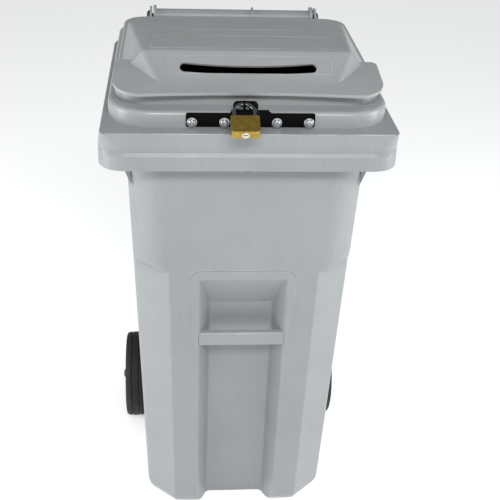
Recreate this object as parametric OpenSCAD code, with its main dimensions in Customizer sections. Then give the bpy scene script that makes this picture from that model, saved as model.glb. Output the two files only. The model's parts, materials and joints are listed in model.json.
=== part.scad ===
// Secure shredding console: a two-wheeled moulded roll cart with a domed lid
// that has a paper slot, a hinged hasp and a padlock.
// Millimetres. X to the right, Y to the back, Z up. The floor is Z = 0 and the
// origin lies under the middle of the whole cart.

/* [Rim and body] */
// Width of the cart across its rim
rim_w = 502; // [480:2:530]
// Depth of the rim, front to back
rim_d = 562; // [540:2:590]
// Height of the rim's top face above the floor
rim_z = 914; // [890:2:960]
// Height of the skirt that hangs below the rim's top face
rim_skirt_h = 68; // [55:1:80]
// Height of the wider lower band of the rim skirt
rim_band_h = 31; // [20:1:36]
// How far the lower band stands in front of the upper tier
rim_band_step = 4; // [2:0.5:5]
// Plan corner radius of the upper tier
rim_corner_r = 12; // [8:1:20]
// Plan corner radius of the lower band
band_corner_r = 42; // [30:1:50]
// Plan corner radius of the rim's back corners
rim_back_r = 68; // [50:1:75]
// Wall thickness of the moulded cart
wall = 5; // [4:0.5:6]
// Gap in plan between the rim's side and the body's side, at the rim
body_side_inset = 36; // [30:1:42]
// Gap in plan between the rim's front and the body's front, at the skirt's foot
body_front_inset = 30; // [26:1:36]
// Gap in plan between the rim's back and the body's back
body_back_inset = 27; // [22:1:32]
// Radius of the rounded edge round the bottom
bottom_r = 36; // [30:1:38]
// Height of the shoulder where the front corners change to flat facets
shoulder_z = 618; // [604:1:660]
// Corner radius of the body above the shoulder
body_corner_r = 70; // [60:1:75]
// Plan width of each corner facet at the shoulder
facet_w = 67; // [60:1:68]

/* [Pocket, catch bar and channel] */
// Half width of the front recess at its mouth
recess_half_w = 80; // [76:1:84]
// Half width of the recess at its back wall
recess_back_half_w = 60; // [56:1:66]
// Depth of the recess
recess_depth = 48; // [40:1:52]
// Height of the pocket's upper edge
pocket_top_z = 604; // [590:1:605]
// Height where the pocket's sloping ceiling meets its back wall
pocket_knee_z = 519; // [505:1:535]
// Radius of the upper corners of the pocket's mouth
pocket_corner_r = 12; // [6:1:16]
// How far the frame round the pocket stands proud of the front
frame_proud = 0.8; // [0.5:0.1:1.5]
// Width of that frame beside the pocket's mouth
frame_w = 18; // [14:1:20]
// Height of the underside of the catch bar
catch_bar_z = 450; // [430:1:460]
// Height of the catch bar's face
catch_bar_h = 29; // [24:1:34]
// Thickness of the catch bar, front to back
catch_bar_t = 14; // [10:1:18]

/* [Handle and lid hinge] */
// Distance of the hinge line behind the rim's back
hinge_back = 28; // [26:1:34]
// Height of the hinge line above the rim's top face
hinge_rise = 34; // [32:1:38]
// Diameter of the handle bar
handle_d = 30; // [26:1:32]
// Half length of the handle bar between its end plates
handle_half_l = 165; // [155:1:168]
// Thickness of the end plates of the handle
end_plate_t = 6; // [4:0.5:8]
// Radius of the end plates round the handle bar
end_plate_r = 22; // [19:0.5:24]
// Place of the single web that steadies the handle bar
handle_web_x = 41; // [20:1:80]
// Diameter of the hinge pins
hinge_pin_d = 10; // [8:0.5:12]
// Gap between the end plates and the lid's lugs
lug_gap = 3.5; // [2:0.5:5]
// Thickness of the lid's lugs
lug_t = 4.5; // [4:0.5:6]
// Radial clearance of a part that turns on a pin or axle
running_clearance = 0.08; // [0.05:0.01:0.1]

/* [Lid] */
// Wall thickness of the lid
lid_wall = 4; // [3:0.5:5]
// Gap in plan between the rim's side and the lid's side
lid_side_inset = 10; // [8:1:14]
// Gap in plan between the rim's front and the lid's front
lid_front_inset = 22; // [21:0.5:26]
// Height of the lid's skirt
lid_skirt_h = 28; // [26:1:30]
// Plan corner radius at the lid's front
lid_front_r = 75; // [60:1:80]
// Plan corner radius at the lid's back
lid_back_r = 58; // [50:1:60]
// Depth of the ledge between the skirt and the riser
ledge_d = 36; // [32:1:40]
// Height of the brim's front edge above the ledge
brim_rise = 21; // [18:1:23]
// Thickness of the brim
brim_t = 5.5; // [4:0.5:7]
// Height of the dome's crest above the rim's top face
dome_h = 97; // [90:1:104]
// Rounding of the dome's edges
dome_r = 12; // [8:1:14]
// Length of the paper slot
slot_l = 236; // [180:2:240]
// Height of the paper slot, along the sloping face
slot_h = 16; // [13:1:17]
// Distance of the paper slot above the foot of the sloping face, along it
slot_rise = 30; // [27:1:33]
// How much lower the paper slot is in its middle than at its ends
slot_sag = 4.5; // [0:0.5:5]
// How much narrower the paper slot is in its middle than at its ends
slot_waist = 1.5; // [0:0.5:2]
// How far the middle of the brim's front edge lies back from its ends
brim_bow = 7; // [0:1:9]

/* [Hasp and staple] */
// Length of the hasp strip
strip_l = 216; // [200:2:240]
// Height of the hasp strip
strip_h = 24; // [20:1:25]
// Thickness of the hasp strip
strip_t = 3; // [2:0.5:3]
// Height of the strip's raised middle above the strip
strip_crown_h = 5.5; // [4:0.5:7]
// Place of the hasp leaf's middle across the cart
hasp_x = -9; // [-11:0.5:-8]
// Length of the hasp leaf above its hinge line
leaf_l = 17.3; // [16.5:0.1:18.5]
// Width of the hasp leaf
leaf_w = 42; // [38:1:44]
// Corner radius of the hasp leaf
leaf_r = 8; // [5:1:9]
// How far the raised leaf leans back, in degrees
leaf_lean = 10; // [6:1:14]
// Place of the staple's fin across the cart
fin_x = -12; // [-14:1:-10]
// Place of the staple's shank across the cart
shank_x = -4; // [-8:1:0]
// Height of the staple's eye above the rim's top face
eye_rise = 45.5; // [45:0.25:47]
// Radius of the staple's eye
eye_r = 6.6; // [6.4:0.05:6.8]
// Width of the staple's cross bar
crossbar_w = 40; // [38:1:42]
// Thickness of the staple's fin
fin_t = 4; // [3:0.5:5]

/* [Padlock] */
// Width of the padlock's case
case_w = 47; // [45:1:50]
// Height of the padlock's case
case_h = 38; // [34:1:42]
// Thickness of the padlock's case
case_t = 15.5; // [14.5:0.5:17]
// Diameter of the shackle's rod
shackle_d = 7; // [6:0.25:7.25]
// Distance between the centre lines of the shackle's legs
shackle_pitch = 33; // [31:0.5:34]
// How far the padlock leans forward from the vertical, in degrees
padlock_tilt = 64; // [64:1:70]
// Diameter of the key plug
plug_d = 13; // [11:0.5:13.5]

/* [Wheels and axle] */
// Diameter of the wheels
wheel_d = 203; // [190:1:210]
// Width of the tyres
tyre_w = 46; // [40:1:48]
// Radial thickness of the tyres
tyre_t = 15; // [12:1:18]
// Distance of the axle in front of the rim's back
axle_forward = 105; // [98:1:115]
// Diameter of the axle
axle_d = 16; // [14:0.5:18]
// Half width of the open notch between the axle blocks
notch_half_w = 140; // [120:1:150]

/* [Hidden] */

grey = [0.74, 0.76, 0.77];
black = [0.08, 0.08, 0.09];
zinc = [0.78, 0.79, 0.8];
brass = [0.78, 0.6, 0.27];
fine = 64;
mate_gap = 0.3;

// Cart body: derived places
skirt_foot_z = rim_z - rim_skirt_h;
band_top_z = skirt_foot_z + rim_band_h;
band_slope_h = 6;
body_top_z = rim_z - wall;
side_draft = 0.031;
front_draft = 0.083;
back_draft = 0.035;
facet_angle = 43;
facet_shrink = 0.14;
shoulder_h = 32;
back_corner_r = 45;
recess_inner_r = 12;
recess_mouth_edge = 3;
facet_inner_r = 6;
facet_outer_r = 25;

// Lid: derived places
lid_half_w = rim_w / 2 - lid_side_inset;
lid_front_y = lid_front_inset;
lid_back_y = rim_d;
ledge_z = rim_z + lid_skirt_h;
riser_y = lid_front_y + ledge_d;
brim_front_y = lid_front_y + 18;
brim_z = ledge_z + brim_rise;
brim_slope = 8.5;
brim_l = 122;
dome_half_w = lid_half_w - 9;
dome_side_x = dome_half_w - dome_r;
crest_z = rim_z + dome_h;
crest_y = riser_y + 84;
crest_inset = 44;
face_foot_y = riser_y + 28;
face_foot_z = brim_z + 1.5;
face_foot_inset = 70;
wing_y = riser_y + 110;
dome_fall = 42;

// Hinge
hinge_y = rim_d + hinge_back;
hinge_z = rim_z + hinge_rise;
lug_x = handle_half_l + end_plate_t + lug_gap;
pin_head_x = lug_x + lug_t + mate_gap;
pin_depth = 20;

// Hasp
strip_y = lid_front_y - strip_t;
strip_z = rim_z + 3;
strip_crown_left = hasp_x - leaf_w / 2 - 2.5;
strip_crown_right = 29;
barrel_r = 3;
barrel_y = strip_y + strip_t - 1;
barrel_z = strip_z + strip_h + barrel_r + 0.2;
screw_x = [for (side = [-1, 1]) for (x = [44, strip_l / 2 - 10]) side * x];
screw_z = strip_z + 8;
screw_d = 5;
screw_l = 20;
screw_hole_d = screw_d + 0.4;
head_r = 7.4;
head_h = 3.6;
washer_r = 8.5;
washer_t = 1.6;
nut_w = 9.2;
nut_h = 4.5;

// Staple
staple_back_y = strip_y - 1.5;
eye_y = staple_back_y - eye_r;
eye_z = rim_z + eye_rise;
eye_hole_r = 4.5;
crossbar_t = 6;
crossbar_z = eye_z - 9 - crossbar_t;
crossbar_d = 6.6;
crossbar_front_y = eye_y - 9;
base_t = 3;
base_w = 30;
shank_y = 15.5;
shank_d = 8;
shank_hole_d = shank_d + 0.4;
spacer_r = 5.4;
staple_nut_r = 11;
staple_nut_z = skirt_foot_z - 5;
staple_nut_h = 6;
staple_nut_cap = 1.5;
staple_washer_t = 2;

// Padlock, in its own frame: the origin is the middle of the shackle's rod
// where it passes through the staple's eye, -Z runs down the padlock
pad_offset = 0.7;
pad_x = fin_x - pad_offset;
crown_r = shackle_pitch / 2;
crown_drop = crown_r - sqrt(crown_r * crown_r - pad_offset * pad_offset);
crown_z = crown_drop - crown_r;
case_top = -30;
heel_depth = 25;
toe_depth = 10;
plug_proud = 0.6;

// How far the whole cart's middle lies behind the rim's front
pad_front_y = eye_y - (case_h - case_top) * sin(padlock_tilt) - case_t / 2 * cos(padlock_tilt);
front_reach = (hinge_y + end_plate_r + pad_front_y) / 2;

// Wheels
axle_y = rim_d - axle_forward;
axle_z = wheel_d / 2;
boss_x = round(body_half_w(axle_z) + 3);
bush_t = 2;
wheel_x = boss_x + bush_t + mate_gap;
tyre_x = wheel_x + 3.7;
hub_l = tyre_x + tyre_w - wheel_x - 2;
cap_x = wheel_x + hub_l + mate_gap;
rim_r = wheel_d / 2 - tyre_t;

// ---- Shape functions ----

function unit(v) = v / norm(v);
function mix(a, b, t) = a + (b - a) * t;
function clamp01(t) = max(0, min(1, t));

// Arc of n + 1 points that rounds the corner at b, coming from a and going to c
function corner_arc(a, b, c, r, n) =
    let (u = unit(a - b), w = unit(c - b),
         half = acos(u * w) / 2,
         centre = b + unit(u + w) * r / sin(half),
         reach = r / tan(half),
         e0 = (b + u * reach - centre) / r,
         e1 = (b + w * reach - centre) / r,
         sweep = acos(e0 * e1))
    [for (i = [0:n]) centre
        + r * (sin((n - i) / n * sweep) * e0 + sin(i / n * sweep) * e1) / sin(sweep)];

// The corner b moved inwards by d, between its neighbours a and c
function inset_corner(a, b, c, d) =
    let (u = unit(b - a), w = unit(c - b),
         n1 = [-u[1], u[0]], n2 = [-w[1], w[0]])
    b + (n1 + n2) * d / (1 + n1 * n2);

// Body half width, front and back at a height
function body_half_w(z) = rim_w / 2 - body_side_inset - (rim_z - z) * side_draft;
function body_front(z) = body_front_inset + (skirt_foot_z - z) * front_draft;
function body_back(z) = rim_d - body_back_inset - (rim_z - z) * back_draft;

// 0 on the facets below the shoulder, 1 on the round corners above it
function roundness(z) =
    let (t = clamp01((z - shoulder_z) / shoulder_h)) sqrt(1 - (1 - t) * (1 - t));

// Corners of the right half of the body's outline, from front to back
function half_corners(z) =
    let (w = body_half_w(z), f = body_front(z), b = body_back(z), t = roundness(z),
         flat_w = facet_w - facet_w * facet_shrink * clamp01(1 - z / shoulder_z),
         chamfer = body_corner_r * (2 - sqrt(2)),
         cut_x = mix(flat_w, chamfer, t),
         cut_y = mix(flat_w * tan(facet_angle), chamfer, t))
    [[w - cut_x, f], [w, f + cut_y], [w, b]];

// Radii of those corners where the wall is moved inwards by d
function corner_radii(z, d) =
    let (round_r = body_corner_r * 0.97, t = roundness(z))
    [max(1, mix(facet_inner_r, round_r, t) - d),
     max(1, mix(facet_outer_r, round_r, t) - d),
     max(4, back_corner_r - d)];

corner_steps = [5, 5, 6];

// Closed outline of the body at height z, moved inwards by d
function outline(z, d) =
    let (right = half_corners(z),
         n = len(right),
         left = [for (i = [n - 1:-1:0]) [-right[i][0], right[i][1]]],
         loop = concat(right, left),
         m = len(loop),
         inner = [for (i = [0:m - 1])
             inset_corner(loop[(i + m - 1) % m], loop[i], loop[(i + 1) % m], d)],
         radii = corner_radii(z, d))
    [for (i = [0:m - 1])
        let (k = i < n ? i : m - 1 - i)
        each corner_arc(inner[(i + m - 1) % m], inner[i], inner[(i + 1) % m],
                        radii[k], corner_steps[k])];

// Rings of the loft: height, and inset of the walls
function loft_levels(d, top) =
    concat([for (a = [90:-18:0]) [d + (bottom_r - d) * (1 - sin(a)),
                                  d + (bottom_r - d) * (1 - cos(a))]],
           [[shoulder_z, d]],
           [for (s = [0.04, 0.16, 0.36, 0.64, 1]) [shoulder_z + s * shoulder_h, d]],
           [[top, d]]);

// Solid through closed rings of points, all of one length, from the lowest up
module loft(rings) {
    n = len(rings[0]);
    last = len(rings) - 1;
    polyhedron(
        points = [for (ring = rings) each ring],
        faces = concat(
            [[for (j = [0:n - 1]) j]],
            [[for (j = [n - 1:-1:0]) last * n + j]],
            [for (k = [0:last - 1]) for (j = [0:n - 1])
                each let (a = k * n + j, b = k * n + (j + 1) % n)
                [[a, a + n, b + n], [a, b + n, b]]]));
}

// Solid of the body's outline from the bottom to height top
module body_loft(d, top) {
    loft([for (level = loft_levels(d, top))
        [for (p = outline(level[0], level[1])) [p[0], p[1], level[0]]]]);
}

// Round puck with a rounded top edge, the corner of a moulded tray
module puck(r, h, edge) {
    rotate_extrude($fn = 40)
        polygon(concat([[0, 0], [r, 0]],
            [for (a = [0:22.5:90]) [r - edge + edge * cos(a), h - edge + edge * sin(a)]],
            [[0, h]]));
}

// Tray-like block with separate front and back corner radii
module tray(half_w, front, back, z, h, front_r, back_r, edge) {
    hull()
        for (side = [-1, 1]) {
            translate([side * (half_w - front_r), front + front_r, z]) puck(front_r, h, edge);
            translate([side * (half_w - back_r), back - back_r, z]) puck(back_r, h, edge);
        }
}

// Everything is drawn from the rim's front plane and set over the origin here
module placed(c) {
    color(c) translate([0, -front_reach, 0]) children();
}

// A profile in the Y-Z plane, extruded along X from x0 to x1
module slab_x(x0, x1) {
    translate([x0, 0, 0]) rotate([90, 0, 90]) linear_extrude(x1 - x0) children();
}

module pin_x(x0, x1, r) {
    translate([x0, 0, 0]) rotate([0, 90, 0]) cylinder(h = x1 - x0, r = r, $fn = fine);
}

// ---- Cart body ----

// Ring round the rim at height z
function rim_ring(z, inset, front, front_r) =
    let (half = rim_w / 2 - inset, back = rim_d - inset,
         right = concat(
             [for (a = [-90:9:0]) [half - front_r + front_r * cos(a),
                                   front + inset + front_r + front_r * sin(a)]],
             [for (a = [0:9:90]) [half - rim_back_r + rim_back_r * cos(a),
                                  back - rim_back_r + rim_back_r * sin(a)]]),
         left = [for (i = [len(right) - 1:-1:0]) [-right[i][0], right[i][1]]])
    [for (p = concat(right, left)) [p[0], p[1], z]];

module rim_outer() {
    loft([rim_ring(skirt_foot_z, 0, 0, band_corner_r),
          rim_ring(band_top_z - band_slope_h, 0, 0, band_corner_r),
          rim_ring(band_top_z, 0, rim_band_step, band_corner_r),
          rim_ring(rim_z - 0.8, 0, rim_band_step, rim_corner_r),
          rim_ring(rim_z, 0.8, rim_band_step, rim_corner_r)]);
}

module rim_inner() {
    half = rim_w / 2 - wall;
    tray(half, rim_band_step + wall, rim_d - wall, skirt_foot_z - 1, rim_skirt_h - wall + 1,
         band_corner_r - wall, rim_back_r - wall, 2);
    tray(half, wall, rim_d - wall, skirt_foot_z - 1, rim_band_h - band_slope_h - 1,
         band_corner_r - wall, rim_back_r - wall, 2);
}

// Triangular plates that brace the rim's skirt against the body's sides
gusset_places = [for (share = [0.13, 0.36, 0.59, 0.81]) share * rim_d];
module rim_gussets() {
    foot = skirt_foot_z;
    inner = body_half_w(foot) - 2;
    outer = rim_w / 2 - wall + 1;
    for (side = [0, 1]) mirror([side, 0, 0]) for (y = gusset_places)
        translate([0, y + 2, 0]) rotate([90, 0, 0]) linear_extrude(4)
            polygon([[inner, rim_z - wall + 1], [outer, rim_z - wall + 1], [outer, foot + 4],
                     [inner + 16, foot], [inner, foot - 28]]);
}

// Puts its children in the plane of the sloping front: there Z runs up the
// front's face and Y goes straight into the body
front_slope = atan(front_draft);
module on_front() {
    translate([0, body_front(0), 0]) rotate([front_slope, 0, 0]) children();
}

// Pocket and channel as one straight recess under a sloping ceiling; d makes
// it larger by a wall's thickness
module recess(d) {
    mouth = recess_half_w + d;
    back = recess_back_half_w + d;
    deep = recess_depth + d;
    rise = (pocket_top_z - pocket_knee_z) / recess_depth;
    lift = d * sqrt(1 + rise * rise);
    edge = recess_mouth_edge;
    right = concat([[mouth + edge, -40], [mouth + edge, -0.2], [mouth, edge]],
        corner_arc([mouth, edge], [back, deep], [0, deep], recess_inner_r + d, 5));
    left = [for (i = [len(right) - 1:-1:0]) [-right[i][0], right[i][1]]];
    on_front() intersection() {
        translate([0, 0, -bottom_r]) linear_extrude(rim_z) polygon(concat(right, left));
        slab_x(-rim_w / 2, rim_w / 2)
            polygon([[-60, -bottom_r + 1], [deep + 30, -bottom_r + 1],
                     [deep + 30, pocket_top_z + lift - rise * (deep + 30)],
                     [-60, pocket_top_z + lift + rise * 60]]);
        front_panel(mouth + edge, -bottom_r, pocket_top_z + lift + edge, pocket_corner_r, 1,
                    -60, deep + 30);
    }
}

// Upright panel with rounded corners in the plane of the front, from depth y0
// to y1; foot_r rounds its lower corners
module front_panel(half, z0, z1, r, foot_r, y0, y1) {
    right = concat([for (a = [-90:18:0]) [half - foot_r + foot_r * cos(a), z0 + foot_r + foot_r * sin(a)]],
                   [for (a = [0:18:90]) [half - r + r * cos(a), z1 - r + r * sin(a)]]);
    left = [for (i = [len(right) - 1:-1:0]) [-right[i][0], right[i][1]]];
    translate([0, y1, 0]) rotate([90, 0, 0]) linear_extrude(y1 - y0) polygon(concat(right, left));
}

// Flat frame that stands slightly proud round the pocket
module pocket_frame() {
    on_front() front_panel(recess_half_w + frame_w, catch_bar_z + 2, pocket_top_z + frame_w + 2,
                           22, 18, -frame_proud, wall / 2);
}

// Bar between the pocket and the channel, flush with the body's front
module catch_bar() {
    half = recess_half_w + 2;
    t = catch_bar_t;
    face = 0.1 - frame_proud;
    on_front() translate([0, 0, catch_bar_z]) slab_x(-half, half)
        polygon([[face, 1], [1, 0], [t, 0], [t, catch_bar_h - 3], [t - 3, catch_bar_h],
                 [face + 8, catch_bar_h], [face + 4, catch_bar_h - 1.1],
                 [face + 1.1, catch_bar_h - 4], [face, catch_bar_h - 8]]);
}

// Tail that carries an end plate from the rim's back up to the handle bar
module plate_profile(r) {
    translate([hinge_y, hinge_z]) circle(r = r, $fn = fine);
    polygon([[rim_d - 3, skirt_foot_z + 3], [rim_d + 2, skirt_foot_z + 3],
             [hinge_y - 5, rim_z - 10], [hinge_y + 2, hinge_z - r + 1],
             [hinge_y - r * 0.6, hinge_z - r * 0.5], [rim_d + 2, rim_z - 3],
             [rim_d - 3, rim_z - 3]]);
}

module handle() {
    end = handle_half_l + end_plate_t;
    translate([0, hinge_y, hinge_z]) pin_x(-end, end, handle_d / 2);
    for (side = [0, 1]) mirror([side, 0, 0])
        slab_x(handle_half_l, end) plate_profile(end_plate_r);
    slab_x(handle_web_x - 2, handle_web_x + 2) plate_profile(end_plate_r - 2);
}

// Open notch at the lower back, where the axle shows
notch_front_y = axle_y - 36;
notch_top_z = axle_z + 48;
module axle_notch() {
    translate([-notch_half_w, notch_front_y, -1])
        cube([2 * notch_half_w, rim_d - notch_front_y, notch_top_z + 1]);
}

// Walls round the notch: the cavity keeps clear of them
module notch_walls() {
    half = notch_half_w + wall;
    translate([-half, notch_front_y - wall, -1])
        cube([2 * half, rim_d - notch_front_y, notch_top_z + wall + 1]);
}

boss_r = 26;
module axle_bosses() {
    for (side = [0, 1]) mirror([side, 0, 0])
        translate([0, axle_y, axle_z]) pin_x(notch_half_w + 1, boss_x, boss_r);
}

module cart_body() placed(grey) {
    difference() {
        union() {
            difference() {
                union() {
                    difference() { rim_outer(); rim_inner(); }
                    rim_gussets();
                    body_loft(0, body_top_z + 1);
                    pocket_frame();
                }
                difference() {
                    body_loft(wall, rim_z + 1);
                    notch_walls();
                    recess(wall);
                }
                axle_notch();
                recess(0);
            }
            axle_bosses();
            catch_bar();
            handle();
        }
        translate([0, hinge_y, hinge_z])
            for (side = [0, 1]) mirror([side, 0, 0])
                pin_x(handle_half_l + end_plate_t - pin_depth, handle_half_l + end_plate_t + 1,
                      hinge_pin_d / 2);
        translate([0, axle_y, axle_z]) pin_x(-rim_w / 2, rim_w / 2, axle_d / 2);
        translate([shank_x, shank_y, rim_z - wall - 1])
            cylinder(h = wall + 2, d = shank_hole_d, $fn = fine);
    }
}

// ---- Lid ----

// Rounded block through the dome's corner points; a smaller r gives its inside
module dome(r) {
    top = crest_z - dome_r;
    rear = top - dome_fall;
    points = [
        [dome_side_x - crest_inset, crest_y, top],
        [dome_side_x - 28, lid_back_y - 78, rear - 1],
        [dome_side_x - 11, lid_back_y - 116, rear + 4],
        [dome_side_x - 1, lid_back_y - 42, ledge_z + 2],
        [dome_side_x + 1, wing_y, ledge_z + 4],
        [dome_side_x - face_foot_inset, face_foot_y, face_foot_z],
        [dome_side_x - face_foot_inset, face_foot_y, ledge_z]];
    hull()
        for (p = points) for (side = [-1, 1])
            translate([side * p[0], p[1], p[2]]) sphere(r = r, $fn = 24);
}

module riser(shrink) {
    tray(dome_half_w - 2 - shrink, riser_y + shrink, lid_back_y - 30 - shrink, rim_z + 2,
         brim_z - rim_z - 2 - shrink, lid_front_r - 12 - shrink, lid_back_r - 12 - shrink, 6);
}

module lid_tray(shrink, drop) {
    tray(lid_half_w - shrink, lid_front_y + shrink, lid_back_y - shrink, rim_z - drop,
         lid_skirt_h + drop - shrink, lid_front_r - shrink, lid_back_r - shrink, 8 - shrink);
}

// Flat brim over the riser; it climbs gently towards the back
brim_corner_r = 46;
brim_back_cut = 7;
module brim() {
    half = dome_half_w - 1;
    r = brim_corner_r;
    bowed = half - r;
    right = concat([for (i = [0:5]) [i / 6 * bowed, brim_bow * (1 - i * i / 36)]],
        [for (a = [270:9:360]) [bowed + r * cos(a), r + r * sin(a)]],
        [[half, brim_l - brim_back_cut], [half - brim_back_cut, brim_l]]);
    left = [for (i = [len(right) - 1:-1:1]) [-right[i][0], right[i][1]]];
    translate([0, brim_front_y, brim_z]) rotate([brim_slope, 0, 0])
        linear_extrude(brim_t) polygon(concat(right, left));
}

module lug_profile() {
    translate([hinge_y, hinge_z]) circle(r = 20, $fn = fine);
    polygon([[lid_back_y - 26, rim_z + 8], [lid_back_y + 1, rim_z + 8],
             [hinge_y - 6, hinge_z - 19], [hinge_y - 8, hinge_z + 18],
             [lid_back_y - 4, hinge_z + 6], [lid_back_y - 26, ledge_z - 1]]);
}

// Side gusset on the right lug
module lug_gusset() {
    y = lid_back_y - 6;
    translate([0, y + 4, 0]) rotate([90, 0, 0]) linear_extrude(4)
        polygon([[lug_x + 1, ledge_z - 3], [lug_x + lug_t + 14, ledge_z - 3],
                 [lug_x + lug_t + 13, ledge_z], [lug_x + lug_t + 1, hinge_z + 8],
                 [lug_x + 1, hinge_z + 8]]);
}

// Paper slot, square to the sloping face between its foot and the crest
face_slope = atan((crest_z - dome_r - face_foot_z) / (crest_y - face_foot_y));
slot_y = face_foot_y - dome_r * sin(face_slope) + slot_rise * cos(face_slope);
slot_z = face_foot_z + dome_r * cos(face_slope) + slot_rise * sin(face_slope);
module paper_slot() {
    end_r = slot_h / 2;
    reach = slot_l / 2 - end_r;
    end = concat([for (i = [1:8]) let (t = i / 8)
            [t * reach, slot_sag * (t * t - 0.5) - end_r + slot_waist / 2 * (1 - t * t)]],
        [for (a = [-75:15:75]) [reach + end_r * cos(a), slot_sag / 2 + end_r * sin(a)]],
        [for (i = [8:-1:1]) let (t = i / 8)
            [t * reach, slot_sag * (t * t - 0.5) + end_r - slot_waist / 2 * (1 - t * t)]]);
    waist = end_r - slot_waist / 2;
    translate([0, slot_y, slot_z]) rotate([face_slope, 0, 0])
        translate([0, 0, -2 * dome_r]) linear_extrude(4 * dome_r)
            polygon(concat([[0, -waist - slot_sag / 2]], end, [[0, waist - slot_sag / 2]],
                [for (i = [len(end) - 1:-1:0]) [-end[i][0], end[i][1]]]));
}

module lid() placed(grey) {
    difference() {
        union() {
            lid_tray(0, 0);
            riser(0);
            dome(dome_r);
            brim();
            slab_x(lug_x, lug_x + lug_t) lug_profile();
            slab_x(-lug_x - lug_t, -lug_x) lug_profile();
            lug_gusset();
        }
        lid_tray(lid_wall, 1);
        riser(lid_wall);
        dome(dome_r - lid_wall);
        paper_slot();
        translate([0, hinge_y, hinge_z])
            pin_x(-lug_x - lug_t - 1, lug_x + lug_t + 1, hinge_pin_d / 2 + running_clearance);
        for (x = screw_x) translate([x, lid_front_y - 1, screw_z]) rotate([-90, 0, 0])
            cylinder(h = lid_wall + 2, d = screw_hole_d, $fn = fine);
    }
}

module hinge_pin() {
    translate([0, hinge_y, hinge_z]) {
        pin_x(handle_half_l + end_plate_t - pin_depth, pin_head_x + 1, hinge_pin_d / 2);
        translate([pin_head_x, 0, 0]) rotate([0, 90, 0]) rotate_extrude($fn = fine)
            polygon([[0, 0], [11, 0], [11, 2.5], [9, 5], [5, 6.5], [0, 7]]);
    }
}
module left_hinge_pin() placed(black) mirror([1, 0, 0]) hinge_pin();
module right_hinge_pin() placed(black) hinge_pin();

// ---- Hasp ----

module screw_holes() {
    for (x = screw_x) translate([x, strip_y - 1, screw_z]) rotate([-90, 0, 0])
        cylinder(h = strip_t + 2, d = screw_hole_d, $fn = fine);
}

pin_hole_r = 1.5;
knuckle_gap = 0.3;
leaf_t = 2.5;
// The leaf is an arch: its window lies over the strip's long knuckle, and its
// feet end in knuckles on each side of it
window_left = 5;
window_right = 15;
window_h = 8.5;
leaf_foot_l = 7;
module knuckle(x0, x1) {
    translate([0, barrel_y, barrel_z]) pin_x(x0, x1, barrel_r);
}

// Strip outline in the X-Z plane; its middle rises beside the hasp's knuckles
module strip_outline() {
    half = strip_l / 2;
    cut = 2;
    top = strip_h + strip_crown_h;
    left = hasp_x - leaf_w / 2;
    right = hasp_x + leaf_w / 2;
    polygon([[-half, cut], [-half + cut, 0], [half - cut, 0], [half, cut],
             [half, strip_h - cut], [half - cut, strip_h],
             [strip_crown_right + strip_crown_h, strip_h], [strip_crown_right, top],
             [right + 1, top], [right + 1, strip_h],
             [left - 1, strip_h], [left - 1, top],
             [strip_crown_left, top], [strip_crown_left - cut, strip_h],
             [-half + cut, strip_h], [-half, strip_h - cut]]);
}

module hasp_strip() placed(black) {
    difference() {
        union() {
            translate([0, lid_front_y, strip_z]) rotate([90, 0, 0])
                linear_extrude(strip_t) strip_outline();
            for (span = [[window_left + knuckle_gap, leaf_w - window_right - knuckle_gap],
                         [leaf_w - window_right + leaf_foot_l + knuckle_gap, leaf_w]]) {
                left = hasp_x - leaf_w / 2 + span[0];
                knuckle(left, left + span[1] - span[0]);
                translate([left, strip_y, strip_z + strip_h - 3]) cube([span[1] - span[0], strip_t, 6]);
            }
        }
        screw_holes();
        translate([0, barrel_y, barrel_z])
            pin_x(hasp_x - leaf_w, hasp_x + leaf_w, pin_hole_r);
    }
}

// Arched leaf, raised behind the staple; it leans back from the hinge line
module hasp_leaf() placed(black) {
    left = hasp_x - leaf_w / 2;
    right = left + leaf_w;
    foot = right - window_right + leaf_foot_l;
    difference() {
        union() {
            knuckle(left, left + window_left);
            knuckle(right - window_right, foot);
            translate([0, barrel_y, barrel_z]) rotate([90 - leaf_lean, 0, 0])
                translate([0, 0, -leaf_t / 2]) linear_extrude(leaf_t)
                    polygon(concat([[left, 2], [left + window_left, 2], [left + window_left, window_h],
                                    [right - window_right, window_h], [right - window_right, 2],
                                    [foot - 0.5, 2], [foot - 0.5, 3.8], [right, 3.8]],
                        [for (a = [0:15:90]) [right - leaf_r + leaf_r * cos(a),
                                              leaf_l - leaf_r + leaf_r * sin(a)]],
                        [for (a = [90:15:180]) [left + leaf_r + leaf_r * cos(a),
                                                leaf_l - leaf_r + leaf_r * sin(a)]]));
        }
        translate([0, barrel_y, barrel_z])
            pin_x(left - 1, right + 1, pin_hole_r + running_clearance);
    }
}

module hasp_pin() placed(black)
    translate([0, barrel_y, barrel_z])
        pin_x(hasp_x - leaf_w / 2 - 1, hasp_x + leaf_w / 2 + 1, pin_hole_r);

// Puts its children on each screw's axis, with Z running into the lid from y
module on_screws(y) {
    for (x = screw_x) translate([x, y, screw_z]) rotate([-90, 0, 0]) children();
}

module strip_screws() placed(zinc) on_screws(strip_y - washer_t) {
    cylinder(h = screw_l, d = screw_d, $fn = fine);
    difference() {
        translate([0, 0, -head_h]) rotate_extrude($fn = fine)
            polygon([[0, 0], [head_r * 0.55, 0.1], [head_r * 0.78, 0.7], [head_r * 0.93, 1.8],
                     [head_r, head_h - 0.8], [head_r, head_h], [0, head_h]]);
        translate([0, 0, -head_h - 1]) cylinder(h = head_h * 0.7 + 1, r = head_r * 0.5, $fn = 6);
    }
}

module flat_washer() {
    difference() {
        cylinder(h = washer_t, r = washer_r, $fn = fine);
        translate([0, 0, -1]) cylinder(h = washer_t + 2, d = screw_d, $fn = fine);
    }
}

module strip_washers() placed(zinc) on_screws(strip_y - washer_t) flat_washer();

inner_face_y = lid_front_y + lid_wall;
module inner_washers() placed(zinc) on_screws(inner_face_y) flat_washer();

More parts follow.
